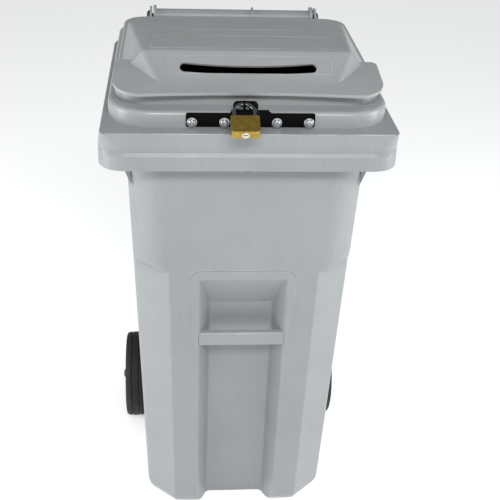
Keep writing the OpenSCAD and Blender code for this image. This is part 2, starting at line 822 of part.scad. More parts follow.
module strip_nuts() placed(zinc) on_screws(inner_face_y + washer_t)
    difference() {
        cylinder(h = nut_h, d = nut_w, $fn = 6);
        translate([0, 0, -1]) cylinder(h = nut_h + 2, d = screw_d, $fn = fine);
    }

// ---- Staple on the rim ----

module staple() placed(black) {
    fin_front = staple_back_y - 2 * eye_r;
    end = crossbar_w / 2;
    difference() {
        union() {
            slab_x(fin_x - fin_t / 2, fin_x + fin_t / 2) {
                translate([eye_y, eye_z]) circle(r = eye_r, $fn = fine);
                translate([fin_front, rim_z + base_t])
                    square([2 * eye_r, eye_z - rim_z - base_t]);
            }
            translate([fin_x, crossbar_front_y + crossbar_d, crossbar_z]) rotate([90, 0, 0])
                linear_extrude(crossbar_d)
                    polygon([[-end, 0], [end, 0], [end - 3, crossbar_t], [-end + 3, crossbar_t]]);
            translate([shank_x - base_w * 0.6, fin_front, rim_z])
                cube([base_w, shank_y + shank_d / 2 + 1 - fin_front, base_t]);
            translate([shank_x, shank_y, staple_nut_z + staple_nut_cap])
                cylinder(h = rim_z - staple_nut_z - staple_nut_cap + 1, d = shank_d, $fn = fine);
        }
        translate([0, eye_y, eye_z]) pin_x(fin_x - fin_t, fin_x + fin_t, eye_hole_r);
    }
}

// Ring round the staple's shank from z0 to z1
module shank_ring(r, sides, z0, z1, hole_from, hole_d) {
    translate([shank_x, shank_y, 0]) difference() {
        translate([0, 0, z0]) cylinder(h = z1 - z0, r = r, $fn = sides);
        translate([0, 0, hole_from]) cylinder(h = rim_z - hole_from, d = hole_d, $fn = fine);
    }
}

staple_seat_z = staple_nut_z + staple_nut_h;
spacer_z = staple_seat_z + staple_washer_t;
module staple_spacer() placed(zinc)
    shank_ring(spacer_r, fine, spacer_z, rim_z - wall, spacer_z - 1, shank_hole_d);
module staple_washer() placed(black)
    shank_ring(staple_nut_r - 1.5, fine, staple_seat_z, spacer_z, staple_seat_z - 1, shank_d);
module staple_nut() placed(black)
    shank_ring(staple_nut_r, 6, staple_nut_z, staple_seat_z, staple_nut_z + staple_nut_cap, shank_d);

// ---- Padlock ----

module padlock_place(c) {
    placed(c) translate([pad_x, eye_y, eye_z]) rotate([-padlock_tilt, 0, 0]) children();
}

module shackle_leg(side, depth) {
    translate([side * crown_r, 0, case_top - depth])
        cylinder(h = crown_z - case_top + depth, d = shackle_d, $fn = fine);
}

module padlock_shackle() padlock_place(zinc) {
    shackle_leg(-1, heel_depth);
    shackle_leg(1, toe_depth);
    translate([0, 0, crown_z]) rotate([90, 0, 0]) rotate_extrude(angle = 180, $fn = fine)
        translate([crown_r, 0]) circle(d = shackle_d, $fn = fine);
}

module padlock_case() padlock_place(brass) {
    half = case_w / 2;
    edge = 1.2;
    difference() {
        intersection() {
            translate([0, case_t / 2, case_top - case_h]) rotate([90, 0, 0]) linear_extrude(case_t)
                polygon([[-half + 4, 1.5], [-half / 2, 0.4], [0, 0], [half / 2, 0.4], [half - 4, 1.5],
                         [half - 1, 3.5], [half, 7], [half, case_h - 2], [half - 2, case_h],
                         [-half + 2, case_h], [-half, case_h - 2], [-half, 7], [-half + 1, 3.5]]);
            translate([-half, 0, case_top - case_h]) rotate([90, 0, 90]) linear_extrude(case_w)
                polygon([[-case_t / 2 + edge, 0], [case_t / 2 - edge, 0], [case_t / 2, edge],
                         [case_t / 2, case_h - edge], [case_t / 2 - edge, case_h],
                         [-case_t / 2 + edge, case_h], [-case_t / 2, case_h - edge],
                         [-case_t / 2, edge]]);
        }
        leg_hole = shackle_d / 2 + running_clearance;
        translate([-crown_r, 0, case_top - heel_depth - 1]) cylinder(h = 60, r = leg_hole, $fn = fine);
        translate([crown_r, 0, case_top - toe_depth - 1]) cylinder(h = 60, r = leg_hole, $fn = fine);
        translate([0, 0, case_top - case_h - 1])
            cylinder(h = 23, d = plug_d + 2 * running_clearance, $fn = fine);
    }
}

module key_plug() padlock_place(zinc) {
    base = case_top - case_h;
    difference() {
        translate([0, 0, base - plug_proud]) cylinder(h = 22, d = plug_d, $fn = fine);
        translate([-plug_d * 0.32, -1, base - 1]) cube([plug_d * 0.64, 2, 18]);
    }
}

// ---- Wheels ----

module axle() placed(zinc)
    translate([0, axle_y, axle_z]) pin_x(-cap_x - 5, cap_x + 5, axle_d / 2);

module wheel() {
    hub_r = 22;
    web_t = 8;
    mid = hub_l / 2;
    translate([wheel_x, axle_y, axle_z]) rotate([0, 90, 0]) difference() {
        union() {
            cylinder(h = hub_l, r = hub_r, $fn = fine);
            translate([0, 0, mid - web_t / 2]) cylinder(h = web_t, r = rim_r - 1, $fn = fine);
            difference() {
                translate([0, 0, tyre_x - wheel_x + 2])
                    cylinder(h = tyre_w - 4, r = rim_r, $fn = fine);
                translate([0, 0, tyre_x - wheel_x + 1])
                    cylinder(h = tyre_w - 2, r = rim_r - 7, $fn = fine);
            }
            for (a = [0:60:300]) rotate(a) translate([hub_r - 3, -2.5, 6])
                cube([rim_r - hub_r - 2, 5, hub_l - 12]);
        }
        translate([0, 0, -1]) cylinder(h = hub_l + 2, r = axle_d / 2 + running_clearance, $fn = fine);
    }
}

module tyre() {
    translate([tyre_x, axle_y, axle_z]) rotate([0, 90, 0]) rotate_extrude($fn = 96)
        polygon([[rim_r, 2], [rim_r + 7, 0], [wheel_d / 2 - 4.5, 1.5], [wheel_d / 2 - 1.2, 7],
                 [wheel_d / 2, 13], [wheel_d / 2 - 2, 14], [wheel_d / 2 - 2, 16], [wheel_d / 2, 17],
                 [wheel_d / 2, tyre_w - 17], [wheel_d / 2 - 2, tyre_w - 16],
                 [wheel_d / 2 - 2, tyre_w - 14], [wheel_d / 2, tyre_w - 13],
                 [wheel_d / 2 - 1.2, tyre_w - 7], [wheel_d / 2 - 4.5, tyre_w - 1.5],
                 [rim_r + 7, tyre_w], [rim_r, tyre_w - 2]]);
}

module bush() {
    translate([boss_x, axle_y, axle_z]) rotate([0, 90, 0]) difference() {
        cylinder(h = bush_t, r = 18, $fn = fine);
        translate([0, 0, -1]) cylinder(h = bush_t + 2, d = axle_d, $fn = fine);
    }
}

module axle_cap() {
    translate([cap_x, axle_y, axle_z]) rotate([0, 90, 0]) difference() {
        rotate_extrude($fn = fine)
            polygon([[0, 0], [16, 0], [16, 2], [13, 2.5], [11.5, 6], [7, 9], [0, 10]]);
        translate([0, 0, -1]) cylinder(h = 6, d = axle_d, $fn = fine);
    }
}

module left_wheel() placed(black) mirror([1, 0, 0]) wheel();
module right_wheel() placed(black) wheel();
module left_tyre() placed(black) mirror([1, 0, 0]) tyre();
module right_tyre() placed(black) tyre();
module left_bush() placed(black) mirror([1, 0, 0]) bush();
module right_bush() placed(black) bush();
module left_axle_cap() placed(black) mirror([1, 0, 0]) axle_cap();
module right_axle_cap() placed(black) axle_cap();

cart_body();
lid();
left_hinge_pin();
right_hinge_pin();
hasp_strip();
hasp_leaf();
hasp_pin();
strip_screws();
strip_washers();
inner_washers();
strip_nuts();
staple();
staple_spacer();
staple_washer();
staple_nut();
padlock_shackle();
padlock_case();
key_plug();
axle();
left_wheel();
right_wheel();
left_tyre();
right_tyre();
left_bush();
right_bush();
left_axle_cap();
right_axle_cap();
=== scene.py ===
"""Secure shredding console: its finishes, mouldings, lock, wheels and stage round the frame."""

import json
import math

import bmesh
import bpy
from bpy.props import FloatProperty, FloatVectorProperty, IntProperty, PointerProperty
from mathutils import Matrix, Vector
from mathutils.bvhtree import BVHTree

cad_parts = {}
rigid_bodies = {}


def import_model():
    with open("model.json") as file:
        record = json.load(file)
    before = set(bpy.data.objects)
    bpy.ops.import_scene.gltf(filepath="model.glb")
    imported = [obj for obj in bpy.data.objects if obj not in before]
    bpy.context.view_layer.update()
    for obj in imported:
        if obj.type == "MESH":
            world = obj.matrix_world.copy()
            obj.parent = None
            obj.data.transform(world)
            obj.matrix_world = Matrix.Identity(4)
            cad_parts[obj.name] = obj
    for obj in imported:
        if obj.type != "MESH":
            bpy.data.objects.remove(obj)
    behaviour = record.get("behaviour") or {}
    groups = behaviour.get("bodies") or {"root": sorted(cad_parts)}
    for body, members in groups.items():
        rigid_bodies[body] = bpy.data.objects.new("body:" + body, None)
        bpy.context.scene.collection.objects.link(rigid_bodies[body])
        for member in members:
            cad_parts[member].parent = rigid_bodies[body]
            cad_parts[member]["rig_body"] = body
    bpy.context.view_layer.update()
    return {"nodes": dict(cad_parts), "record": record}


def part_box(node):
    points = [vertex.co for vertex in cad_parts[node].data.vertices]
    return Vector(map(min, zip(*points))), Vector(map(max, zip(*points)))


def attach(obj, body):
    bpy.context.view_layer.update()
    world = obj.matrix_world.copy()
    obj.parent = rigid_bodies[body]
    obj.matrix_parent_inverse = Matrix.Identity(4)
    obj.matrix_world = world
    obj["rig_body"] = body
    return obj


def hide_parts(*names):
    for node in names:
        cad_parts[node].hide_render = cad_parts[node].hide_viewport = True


bl_info = {
    "name": "Shredding Console",
    "version": (1, 0, 0),
    "blender": (4, 5, 0),
    "location": "View3D > Sidebar > Console",
    "description": "Builds the visible pieces of a wheeled shredding console",
    "category": "Object",
}

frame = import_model()
NODES = frame["nodes"]
SLOTS = {part["node"]: part["material_slot"] for part in frame["record"]["subparts"]}
MM = 0.001


# ---- Settings ----


class ConsoleColours(bpy.types.PropertyGroup):
    """Colours of the console's finishes."""

    cart: FloatVectorProperty(
        name="Cart plastic", description="Grey of the moulded cart",
        subtype="COLOR", default=(0.278, 0.294, 0.302),
    )
    lid: FloatVectorProperty(
        name="Lid plastic", description="Grey of the moulded lid",
        subtype="COLOR", default=(0.318, 0.329, 0.334),
    )
    brass: FloatVectorProperty(
        name="Brass", description="Colour of the padlock's case",
        subtype="COLOR", default=(0.42, 0.29, 0.06),
    )
    zinc: FloatVectorProperty(
        name="Zinc", description="Colour of bolts, washers and axle",
        subtype="COLOR", default=(0.52, 0.53, 0.55),
    )


class ConsoleSizes(bpy.types.PropertyGroup):
    """Sizes of the details that finish the moulded pieces."""

    shell_edge: FloatProperty(
        name="Moulded edge", description="Rounding of the cart's edges",
        unit="LENGTH", default=2.2 * MM, min=0.0,
    )
    lid_edge: FloatProperty(
        name="Lid edge", description="Rounding of the lid's edges",
        unit="LENGTH", default=1.6 * MM, min=0.0,
    )
    metal_edge: FloatProperty(
        name="Metal edge", description="Rounding of the steel pieces' edges",
        unit="LENGTH", default=0.4 * MM, min=0.0,
    )
    bolt_head: FloatProperty(
        name="Bolt head", description="Radius of the strip's bolt heads",
        unit="LENGTH", default=6.2 * MM, min=0.001,
    )
    bolt_rise: FloatProperty(
        name="Bolt rise", description="Height of the strip's bolt heads",
        unit="LENGTH", default=3.6 * MM, min=0.001,
    )
    inner_bolt: FloatProperty(
        name="Inner bolts", description="Reach of the inner bolts from the middle",
        unit="LENGTH", default=44 * MM,
    )
    rib_count: IntProperty(
        name="Wheel ribs", description="Ribs of a wheel", default=6, min=3, max=12
    )
    line_width: FloatProperty(
        name="Moulded line", description="Width of the lines on the lid and round the pocket",
        unit="LENGTH", default=1.3 * MM,
    )
    # The pale line along the rim's front is a painted highlight
    highlight_line_width: FloatProperty(
        name="Highlighted edge", description="Width of the pale line along the rim's front",
        unit="LENGTH", default=2.6 * MM,
    )


# ---- Mesh helpers ----

# Points of a solid's mesh that lie closer than this are one point
MERGE_GAP = 0.02 * MM
# Faces that turn less than this are one flat face
FLAT_ANGLE = math.radians(1.0)
# Edges that turn more than this are rounded
ROUNDED_ANGLE = math.radians(28.0)
# Edges of a piece made here that turn more than this stay crisp, and those of a bead
CRISP_ANGLE = math.radians(32.0)
BEAD_CRISP_ANGLE = math.radians(60.0)


def link(name, mesh):
    obj = bpy.data.objects.new(name, mesh)
    bpy.context.scene.collection.objects.link(obj)
    return obj


def finish_piece(obj, node, *replaced):
    """The piece stands for a CAD node, which it hides, and rides on its body."""
    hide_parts(node, *replaced)
    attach(obj, NODES[node]["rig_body"])
    return obj


def shade_smooth(mesh):
    mesh.polygons.foreach_set("use_smooth", [True] * len(mesh.polygons))
    mesh.update()


def softened(node, name, edge, finish, shape=None):
    """A copy of a CAD node with merged faces and rounded edges; shape may move its points first."""
    bm = bmesh.new()
    bm.from_mesh(NODES[node].data)
    bmesh.ops.remove_doubles(bm, verts=bm.verts, dist=MERGE_GAP)
    bmesh.ops.dissolve_degenerate(bm, edges=bm.edges, dist=MERGE_GAP)
    if shape:
        shape(bm)
    bmesh.ops.dissolve_limit(
        bm, angle_limit=FLAT_ANGLE, verts=bm.verts, edges=bm.edges, use_dissolve_boundaries=False
    )
    mesh = bpy.data.meshes.new(name)
    bm.to_mesh(mesh)
    bm.free()
    shade_smooth(mesh)
    obj = link(name, mesh)
    mesh.materials.clear()
    mesh.materials.append(finish)
    bevel = obj.modifiers.new("Rounded edges", "BEVEL")
    bevel.width = edge
    bevel.segments = 3
    bevel.limit_method = "ANGLE"
    bevel.angle_limit = ROUNDED_ANGLE
    bevel.harden_normals = True
    bevel.use_clamp_overlap = True
    weighted = obj.modifiers.new("Even shading", "WEIGHTED_NORMAL")
    weighted.keep_sharp = True
    return finish_piece(obj, node)


def to_mesh(bm, name, crisp=CRISP_ANGLE):
    mesh = bpy.data.meshes.new(name)
    bm.to_mesh(mesh)
    bm.free()
    shade_smooth(mesh)
    mesh.set_sharp_from_angle(angle=crisp)
    return mesh


def skin(bm, here, there):
    """Faces between two closed rows of as many points."""
    for i in range(len(here)):
        j = (i + 1) % len(here)
        bm.faces.new((here[i], here[j], there[j], there[i]))


def bevel_all(bm, edge):
    bmesh.ops.bevel(bm, geom=bm.edges[:], offset=edge, segments=2, affect="EDGES", profile=0.5)


def lathe(name, loop, segments=96):
    """A ring turned about X from a closed loop of (x, radius) points."""
    bm = bmesh.new()
    rings = []
    for step in range(segments):
        angle = math.tau * step / segments
        cos, sin = math.cos(angle), math.sin(angle)
        rings.append([bm.verts.new((x, r * cos, r * sin)) for x, r in loop])
    for step in range(segments):
        skin(bm, rings[step], rings[(step + 1) % segments])
    bmesh.ops.recalc_face_normals(bm, faces=bm.faces)
    return to_mesh(bm, name)


def placed(mesh, at, flip=False):
    """Moves a mesh made at the origin to its place; flip turns it to face the other side."""
    if flip:
        mesh.transform(Matrix.Rotation(math.pi, 4, "Z"))
    mesh.transform(Matrix.Translation(at))
    return mesh


def bolt_mesh(radius, rise, shank, length, segments=48):
    """Button head with a hexagon socket, looking along +Z, over its plain shank."""
    sixth = math.pi / 3
    angles = [math.tau * step / segments for step in range(segments)]
    socket = [
        0.5 * radius * math.cos(sixth / 2) / math.cos((angle + sixth / 2) % sixth - sixth / 2)
        for angle in angles
    ]
    rows = [
        [(shank, -length)] * segments,
        [(shank, 0.0)] * segments,
        [(radius, 0.0)] * segments,
        [(radius, 0.22 * rise)] * segments,
        [(0.93 * radius, 0.5 * rise)] * segments,
        [(0.78 * radius, 0.8 * rise)] * segments,
        [(0.60 * radius, rise)] * segments,
        [(r + 0.05 * radius, rise) for r in socket],
        [(r, 0.94 * rise) for r in socket],
        [(r, 0.25 * rise) for r in socket],
    ]
    bm = bmesh.new()
    rings = [
        [
            bm.verts.new((r * math.cos(angle), r * math.sin(angle), z))
            for angle, (r, z) in zip(angles, row)
        ]
        for row in rows
    ]
    for low, high in zip(rings, rings[1:]):
        skin(bm, low, high)
    bm.faces.new(list(reversed(rings[0])))
    bm.faces.new(rings[-1])
    bmesh.ops.recalc_face_normals(bm, faces=bm.faces)
    return to_mesh(bm, "bolt_template")


def bevelled_box(name, low, high, edge):
    bm = bmesh.new()
    bmesh.ops.create_cube(bm, size=1.0)
    for vert in bm.verts:
        vert.co = Vector([lo + (hi - lo) * (c + 0.5) for c, lo, hi in zip(vert.co, low, high)])
    bevel_all(bm, edge)
    bmesh.ops.recalc_face_normals(bm, faces=bm.faces)
    return to_mesh(bm, name)


# ---- Geometry node trees ----

# The inputs that every tree has
COMMON = (("Piece", "Object"), ("Finish", "Material"), ("Place", "Vector"), ("Turn", "Vector"))


def new_tree(name, sockets):
    tree = bpy.data.node_groups.new(name, "GeometryNodeTree")
    tree.interface.new_socket(name="Geometry", in_out="OUTPUT", socket_type="NodeSocketGeometry")
    for label, kind in sockets:
        tree.interface.new_socket(name=label, in_out="INPUT", socket_type="NodeSocket" + kind)
    return tree, tree.nodes.new("NodeGroupInput").outputs


def instanced(tree, given, points, rotation):
    """Puts the piece on the points, then moves all of it to its place, real and finished."""
    make, join = tree.nodes.new, tree.links.new
    info = make("GeometryNodeObjectInfo")
    join(given["Piece"], info.inputs["Object"])
    spread = make("GeometryNodeInstanceOnPoints")
    join(points, spread.inputs["Points"])
    join(info.outputs["Geometry"], spread.inputs["Instance"])
    join(rotation, spread.inputs["Rotation"])
    move = make("GeometryNodeTransform")
    join(spread.outputs["Instances"], move.inputs["Geometry"])
    join(given["Place"], move.inputs["Translation"])
    join(given["Turn"], move.inputs["Rotation"])
    real = make("GeometryNodeRealizeInstances")
    join(move.outputs["Geometry"], real.inputs["Geometry"])
    finish = make("GeometryNodeSetMaterial")
    join(real.outputs["Geometry"], finish.inputs["Geometry"])
    join(given["Finish"], finish.inputs["Material"])
    join(finish.outputs["Geometry"], make("NodeGroupOutput").inputs["Geometry"])


def pairs_tree():
    """Two points on each side of the middle, at the reaches Inner and Outer."""
    tree, given = new_tree("bolt_pairs", (*COMMON, ("Inner", "Float"), ("Outer", "Float")))
    make, join = tree.nodes.new, tree.links.new
    ends = {}
    for label in ("Inner", "Outer"):
        ends[label] = make("ShaderNodeCombineXYZ").outputs["Vector"]
        join(given[label], ends[label].node.inputs["X"])
    line = make("GeometryNodeMeshLine")
    line.mode = "END_POINTS"
    line.inputs["Count"].default_value = 2
    join(ends["Inner"], line.inputs["Start Location"])
    join(ends["Outer"], line.inputs["Offset"])
    other = make("GeometryNodeTransform")
    other.inputs["Scale"].default_value = (-1.0, 1.0, 1.0)
    join(line.outputs["Mesh"], other.inputs["Geometry"])
    both = make("GeometryNodeJoinGeometry")
    join(line.outputs["Mesh"], both.inputs["Geometry"])
    join(other.outputs["Geometry"], both.inputs["Geometry"])
    still = make("ShaderNodeCombineXYZ").outputs["Vector"]
    instanced(tree, given, both.outputs["Geometry"], still)
    return tree


def ring_tree():
    """Count copies on a circle of the given radius, each turned to face outwards."""
    tree, given = new_tree("ring", (*COMMON, ("Count", "Int"), ("Radius", "Float")))
    make, join = tree.nodes.new, tree.links.new
    circle = make("GeometryNodeMeshCircle")
    join(given["Count"], circle.inputs["Vertices"])
    join(given["Radius"], circle.inputs["Radius"])
    share = make("ShaderNodeMath")
    share.operation = "DIVIDE"
    join(make("GeometryNodeInputIndex").outputs["Index"], share.inputs[0])
    join(given["Count"], share.inputs[1])
    angle = make("ShaderNodeMath")
    angle.operation = "MULTIPLY"
    angle.inputs[1].default_value = math.tau
    join(share.outputs["Value"], angle.inputs[0])
    turn = make("ShaderNodeCombineXYZ")
    join(angle.outputs["Value"], turn.inputs["Z"])
    instanced(tree, given, circle.outputs["Mesh"], turn.outputs["Vector"])
    return tree


def grown(name, tree, template, finish, **values):
    """Runs a tree on an empty mesh and returns the plain object that it makes."""
    piece = link("template", template)
    obj = link(name, bpy.data.meshes.new(name))
    modifier = obj.modifiers.new("Repeats", "NODES")
    modifier.node_group = tree
    values.update(Piece=piece, Finish=finish)
    for socket in tree.interface.items_tree:
        if socket.in_out == "INPUT":
            modifier[socket.identifier] = values[socket.name]
    bpy.context.view_layer.update()
    evaluated = obj.evaluated_get(bpy.context.evaluated_depsgraph_get())
    mesh = bpy.data.meshes.new_from_object(evaluated)
    obj.modifiers.clear()
    obj.data = mesh
    mesh.name = name
    bpy.data.objects.remove(piece)
    return obj


# ---- Materials ----


def material(name, colour, roughness, metallic=0.0):
    """A principled material; returns it with its tree, shader and object coordinates."""
    mat = bpy.data.materials.new(name)
    mat.use_nodes = True
    tree = mat.node_tree
    shader = tree.nodes["Principled BSDF"]
    shader.inputs["Base Color"].default_value = (*colour, 1.0)
    shader.inputs["Roughness"].default_value = roughness
    shader.inputs["Metallic"].default_value = metallic
    coords = tree.nodes.new("ShaderNodeTexCoord").outputs["Object"]
    return mat, tree, shader, coords


def stretched(tree, coords, scale):
    mapping = tree.nodes.new("ShaderNodeMapping")
    mapping.inputs["Scale"].default_value = scale
    tree.links.new(coords, mapping.inputs["Vector"])
    return mapping.outputs["Vector"]


def noise(tree, coords, scale, detail):
    node = tree.nodes.new("ShaderNodeTexNoise")
    node.inputs["Scale"].default_value = scale
    node.inputs["Detail"].default_value = detail
    tree.links.new(coords, node.inputs["Vector"])
    return node.outputs["Fac"]


def ranged(tree, value, low, high, out_low=0.0, out_high=1.0):
    node = tree.nodes.new("ShaderNodeMapRange")
    limits = {"From Min": low, "From Max": high, "To Min": out_low, "To Max": out_high}
    for key, number in limits.items():
        node.inputs[key].default_value = number
    tree.links.new(value, node.inputs["Value"])
    return node.outputs["Result"]


def tinted(tree, factor, colour_a, colour_b):
    node = tree.nodes.new("ShaderNodeMix")
    node.data_type = "RGBA"
    node.inputs["A"].default_value = (*colour_a, 1.0)
    node.inputs["B"].default_value = (*colour_b, 1.0)
    tree.links.new(factor, node.inputs["Factor"])
    return node.outputs["Result"]


def multiplied(tree, colour_a, colour_b):
    node = tree.nodes.new("ShaderNodeMix")
    node.data_type, node.blend_type = "RGBA", "MULTIPLY"
    node.inputs["Factor"].default_value = 1.0
    tree.links.new(colour_a, node.inputs["A"])
    tree.links.new(colour_b, node.inputs["B"])
    return node.outputs["Result"]


def bumped(tree, shader, *layers):
    """Chains bump layers, each (height, strength, distance), into the shader's normal."""
    normal = None
    for height, strength, distance in layers:
        node = tree.nodes.new("ShaderNodeBump")
        node.inputs["Strength"].default_value = strength
        node.inputs["Distance"].default_value = distance
        tree.links.new(height, node.inputs["Height"])
        if normal:
            tree.links.new(normal, node.inputs["Normal"])
        normal = node.outputs["Normal"]
    tree.links.new(normal, shader.inputs["Normal"])


def scaled(colour, share):
    return tuple(channel * share for channel in colour)


def moulded_plastic(name, colour, roughness, grain, streaks):
    """Grey moulded plastic: cloudy tone, pebbled grain and faint drawn streaks."""
    mat, tree, shader, coords = material(name, colour, roughness)
    cloud = ranged(tree, noise(tree, coords, 7.0, 4.0), 0.3, 0.7)
    tone = tinted(tree, cloud, scaled(colour, 0.95), scaled(colour, 1.04))
    drawn = noise(tree, stretched(tree, coords, (260.0, 260.0, 5.0)), 1.0, 3.0)
    dimmed = (1.0 - streaks * 0.18,) * 3
    grey = tinted(tree, ranged(tree, drawn, 0.3, 0.7), dimmed, (1.0,) * 3)
    tree.links.new(multiplied(tree, tone, grey), shader.inputs["Base Color"])
    patch = noise(tree, coords, 26.0, 5.0)
    rough = ranged(tree, patch, 0.3, 0.7, roughness - 0.05, roughness + 0.07)
    tree.links.new(rough, shader.inputs["Roughness"])
    pebbles = noise(tree, coords, 1500.0, 2.0)
    bumped(tree, shader, (pebbles, grain, 0.2 * MM), (drawn, streaks, 0.3 * MM))
    return mat


def black_plastic():
    mat, tree, shader, coords = material("black_plastic", (0.013, 0.013, 0.014), 0.5)
    patch = ranged(tree, noise(tree, coords, 60.0, 4.0), 0.3, 0.7, 0.42, 0.6)
    tree.links.new(patch, shader.inputs["Roughness"])
    bumped(tree, shader, (noise(tree, coords, 1300.0, 2.0), 0.25, 0.2 * MM))
    return mat


def tyre_rubber():
    mat, tree, shader, coords = material("tyre_rubber", (0.011, 0.011, 0.011), 0.72)
    dust = ranged(tree, noise(tree, coords, 45.0, 6.0), 0.55, 0.8)
    dusty = tinted(tree, dust, (0.009, 0.009, 0.009), (0.03, 0.029, 0.027))
    tree.links.new(dusty, shader.inputs["Base Color"])
    bumped(tree, shader, (noise(tree, coords, 900.0, 3.0), 0.4, 0.3 * MM))
    return mat


def black_steel():
    mat, tree, shader, coords = material("black_steel", (0.0015, 0.0015, 0.0016), 0.5)
    shader.inputs["Specular IOR Level"].default_value = 0.08
    patch = ranged(tree, noise(tree, coords, 120.0, 4.0), 0.3, 0.7, 0.42, 0.6)
    tree.links.new(patch, shader.inputs["Roughness"])
    bumped(tree, shader, (noise(tree, coords, 700.0, 2.0), 0.12, 0.2 * MM))
    return mat


def zinc_plate(colour):
    mat, tree, shader, coords = material("zinc_plate", colour, 0.3, metallic=1.0)
    mottle = ranged(tree, noise(tree, coords, 220.0, 4.0), 0.3, 0.7, 0.22, 0.42)
    tree.links.new(mottle, shader.inputs["Roughness"])
    bumped(tree, shader, (noise(tree, coords, 600.0, 3.0), 0.1, 0.1 * MM))
    return mat


def shackle_steel():
    mat, tree, shader, coords = material("shackle_steel", (0.16, 0.17, 0.18), 0.2, metallic=1.0)
    wear = ranged(tree, noise(tree, coords, 150.0, 4.0), 0.4, 0.7, 0.16, 0.34)
    tree.links.new(wear, shader.inputs["Roughness"])
    bumped(tree, shader, (noise(tree, coords, 500.0, 2.0), 0.05, 0.1 * MM))
    return mat


def brushed_brass(colour):
    """Brass with fine lines along the case and a slightly tarnished tone."""
    mat, tree, shader, coords = material("brushed_brass", colour, 0.36, metallic=1.0)
    lines = noise(tree, stretched(tree, coords, (60.0, 2200.0, 2200.0)), 1.0, 3.0)
    tarnish = ranged(tree, noise(tree, coords, 90.0, 5.0), 0.35, 0.7)
    tone = tinted(tree, tarnish, colour, scaled(colour, 0.72))
    tree.links.new(tone, shader.inputs["Base Color"])
    tree.links.new(ranged(tree, lines, 0.3, 0.7, 0.3, 0.46), shader.inputs["Roughness"])
    bumped(tree, shader, (lines, 0.15, 0.1 * MM))
    return mat


def painted_highlight_plastic(name, colour, share):
    """Plastic for the fine moulded lines, painted paler than its colour as a highlight, more in
    some patches than others.
    """
    mat, tree, shader, coords = material(name, colour, 0.42)
    # The paler patches are painted highlight, spread by noise
    highlight_patches = ranged(tree, noise(tree, coords, 14.0, 3.0), 0.42, 0.62)
    tone = tinted(tree, highlight_patches, scaled(colour, 1.02), scaled(colour, share))
    tree.links.new(tone, shader.inputs["Base Color"])
    bumped(tree, shader, (noise(tree, coords, 900.0, 2.0), 0.2, 0.1 * MM))
    return mat


# Near-black finish of the sheet in the keyway: painted shade
def keyway_painted_shade():
    mat, tree, shader, coords = material("keyway", (0.004, 0.004, 0.004), 0.7)
    bumped(tree, shader, (noise(tree, coords, 1200.0, 2.0), 0.2, 0.1 * MM))
    return mat


def plug_metal():
    mat, tree, shader, coords = material("plug_metal", (0.60, 0.59, 0.54), 0.34, metallic=1.0)
    turned = noise(tree, stretched(tree, coords, (900.0, 900.0, 80.0)), 1.0, 2.0)
    tree.links.new(ranged(tree, turned, 0.3, 0.7, 0.25, 0.4), shader.inputs["Roughness"])
    bumped(tree, shader, (turned, 0.08, 0.1 * MM))
    return mat


# The finishes by name: those of the part's slots, and the scene's own
FINISHES = {}


def make_finishes(colours):
    cart, lid = tuple(colours.cart), tuple(colours.lid)
    FINISHES.update(
        cart_plastic=moulded_plastic("cart_plastic", cart, 0.42, 0.18, 0.26),
        lid_plastic=moulded_plastic("lid_plastic", lid, 0.30, 0.08, 0.06),
        black_plastic=black_plastic(),
        black_steel=black_steel(),
        zinc=zinc_plate(tuple(colours.zinc)),
        shackle_steel=shackle_steel(),
        plug_steel=plug_metal(),
        brass=brushed_brass(tuple(colours.brass)),
        tyre=tyre_rubber(),
        # The lines' finishes are their plastics painted paler: a painted highlight
        moulded_line=painted_highlight_plastic("moulded_line", lid, 1.4),
        scuffed_line=painted_highlight_plastic("scuffed_line", cart, 1.5),
        # The keyway's near-black finish is painted shade
        keyway=keyway_painted_shade(),
    )


# ---- Forms that the photograph shows beyond the solids ----

# How far the lid's front stands behind the rim's
LID_SETBACK = 22 * MM

RIM_TOP = 914 * MM
RIM_STEP = 877 * MM
SKIRT_FOOT = 846 * MM
# The rim's sides flare by RIM_FLARE: it grows over these reaches from the middle, and it is
# full from this far below the top
RIM_FLARE = 5.8 * MM
FLARE_REACHES = (212 * MM, 240 * MM)
FLARE_DEPTH = 34 * MM
# How far the rim's front stands forward of the solid, by height; the move grows between these
# distances behind the front
RIM_FORWARD = ((RIM_TOP, 11.0 * MM), (RIM_STEP, 3.0 * MM), (SKIRT_FOOT, 4.0 * MM))
RIM_DEPTHS = (24 * MM, 6 * MM)

# The paper slot's middle, behind the rim's front and above the floor; the slope of its face;
# how many times higher it opens, and how far down its face it moves
SLOT_AT = (105.25 * MM, 990.45 * MM)
SLOT_SLOPE = math.radians(31.64)
SLOT_GROWTH = 1.28
SLOT_DROP = 1.2 * MM
# Half the length and height of the region that holds the slot's edges, and its two depths
SLOT_REGION = (118.6 * MM, 11.5 * MM)
SLOT_DEPTHS = (-8 * MM, 3 * MM)

# The brim's points lie under BRIM_TOP and over a foot that rises backwards; the move grows
# between two distances behind the rim's front
BRIM_FORWARD = 5.0 * MM
BRIM_DEPTHS = (75 * MM, 42 * MM)
BRIM_TOP = 985 * MM
BRIM_FOOT, BRIM_FOOT_DEPTH, BRIM_FOOT_SLOPE = 962.7 * MM, 40 * MM, 0.149

# The webs under the rim: outline of the right one in (x, z) millimetres, distance behind the
# rim's front, thickness and rounded edge
WEB_OUTLINE = ((204, 788), (226, 846), (226, 900), (204, 900))
WEB_DEPTH = 69 * MM
WEB_THICKNESS = 4 * MM
WEB_EDGE = 0.7 * MM


def rim_front():
    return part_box("lid")[0][1] - LID_SETBACK


def share_of(value, none, full):
    return max(0.0, min(1.0, (value - none) / (full - none)))


